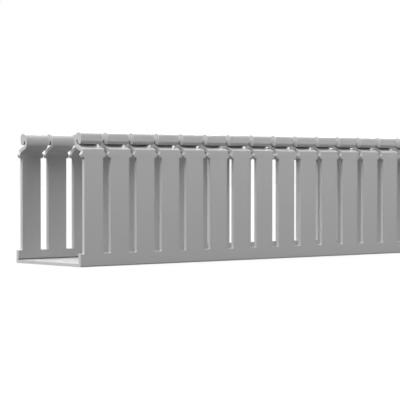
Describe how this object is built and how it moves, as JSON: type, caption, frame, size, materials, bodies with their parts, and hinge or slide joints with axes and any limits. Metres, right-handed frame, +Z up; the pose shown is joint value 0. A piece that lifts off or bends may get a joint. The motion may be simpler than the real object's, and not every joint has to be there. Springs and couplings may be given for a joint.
{
  "type": "slotted wire duct",
  "caption": "Open-slot wiring duct in light grey rigid PVC: a channel with finger walls, lips for a clip-on cover and a row of screw holes in its floor.",
  "frame": {"origin": "middle of the flat underside", "axes": "+X along the length, +Y across the floor from one slotted wall to the other, +Z up out of the open side"},
  "size_m": [1, 0.042, 0.0506],
  "materials": {
    "duct_pvc": "light grey extruded rigid PVC, satin"
  },
  "bodies": {
    "root": {"slotted_duct": "duct_pvc"}
  },
  "joints": []
}
